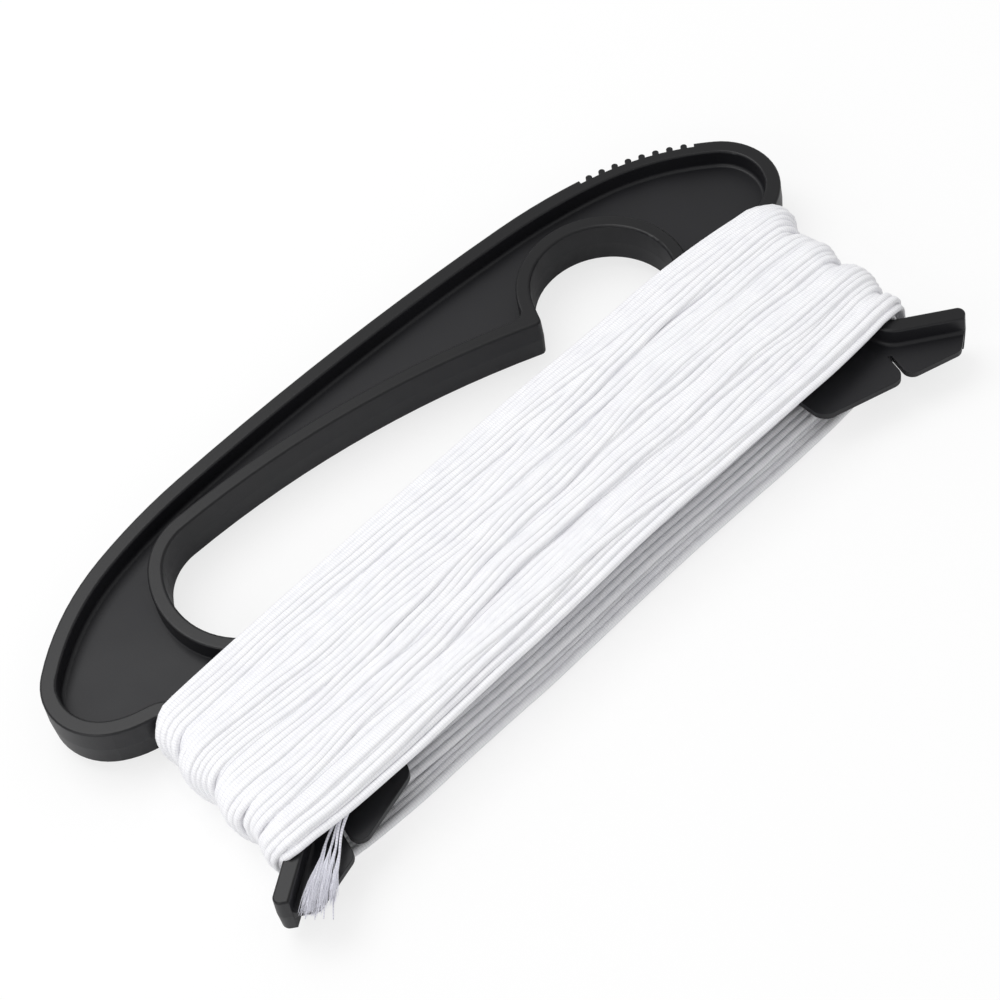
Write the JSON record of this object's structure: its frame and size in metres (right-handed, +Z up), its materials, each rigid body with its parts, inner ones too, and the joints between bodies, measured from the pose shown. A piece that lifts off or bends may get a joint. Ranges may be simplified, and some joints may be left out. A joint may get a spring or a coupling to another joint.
{
  "type": "kite line winder",
  "caption": "Flat hand-held kite line winder: one-piece moulded frame with a finger grip opening and notched arms, wound lengthwise with braided line.",
  "frame": {"origin": "under the middle of the frame, in the plane the winding's lowest runs rest on", "axes": "+X along the winding, +Y towards the hand hold's back, +Z up through the flat winder"},
  "size_m": [0.2012, 0.1006, 0.0179],
  "materials": {
    "frame_plastic": "satin moulded",
    "braided_line": "braided white polyester"
  },
  "bodies": {
    "root": {"winder_frame": "frame_plastic", "line_inner_layers": "braided_line", "line_outer_layer": "braided_line", "line_tail": "braided_line"}
  },
  "joints": []
}
